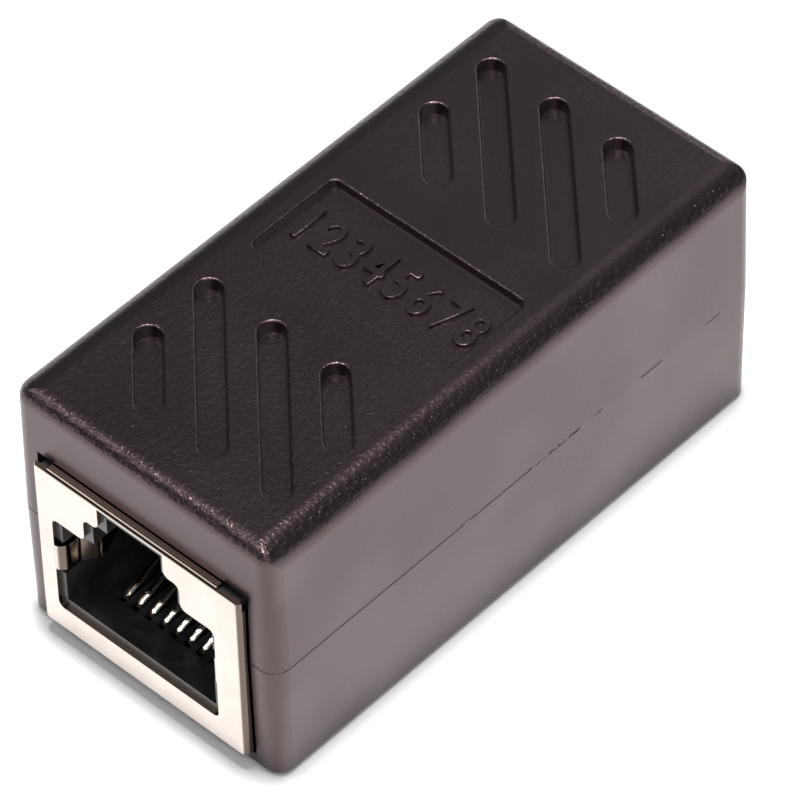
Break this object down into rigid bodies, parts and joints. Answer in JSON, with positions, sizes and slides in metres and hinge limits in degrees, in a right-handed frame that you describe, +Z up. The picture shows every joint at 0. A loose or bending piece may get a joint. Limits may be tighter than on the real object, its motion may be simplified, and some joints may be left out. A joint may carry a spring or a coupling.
{
  "type": "rj45 inline coupler",
  "caption": "Shielded inline network coupler: a black two-part housing with slanted grip slots, a label recess and a metal-faced modular socket in each end.",
  "frame": {"origin": "centre of the flat underside, on the surface that the coupler rests on", "axes": "+Z up, towards the slotted top; +Y along the coupler from the front port to the rear port; +X to the right as seen when looking into the front port"},
  "size_m": [0.02, 0.0416, 0.0187],
  "materials": {
    "black_abs": "fine spark-eroded grain",
    "plated_sheet": "bright nickel plate",
    "jack_plastic": "smooth moulded",
    "contact_metal": "gold-flashed spring bronze",
    "board": "solder mask"
  },
  "bodies": {
    "root": {"upper_shell": "black_abs", "lower_shell": "black_abs", "circuit_board": "board", "front_port_shield": "plated_sheet", "front_port_body": "jack_plastic", "front_contact_carrier": "jack_plastic", "front_contact_1": "contact_metal", "front_contact_2": "contact_metal", "front_contact_3": "contact_metal", "front_contact_4": "contact_metal", "front_contact_5": "contact_metal", "front_contact_6": "contact_metal", "front_contact_7": "contact_metal", "front_contact_8": "contact_metal", "rear_port_shield": "plated_sheet", "rear_port_body": "jack_plastic", "rear_contact_carrier": "jack_plastic", "rear_contact_1": "contact_metal", "rear_contact_2": "contact_metal", "rear_contact_3": "contact_metal", "rear_contact_4": "contact_metal", "rear_contact_5": "contact_metal", "rear_contact_6": "contact_metal", "rear_contact_7": "contact_metal", "rear_contact_8": "contact_metal"}
  },
  "joints": []
}
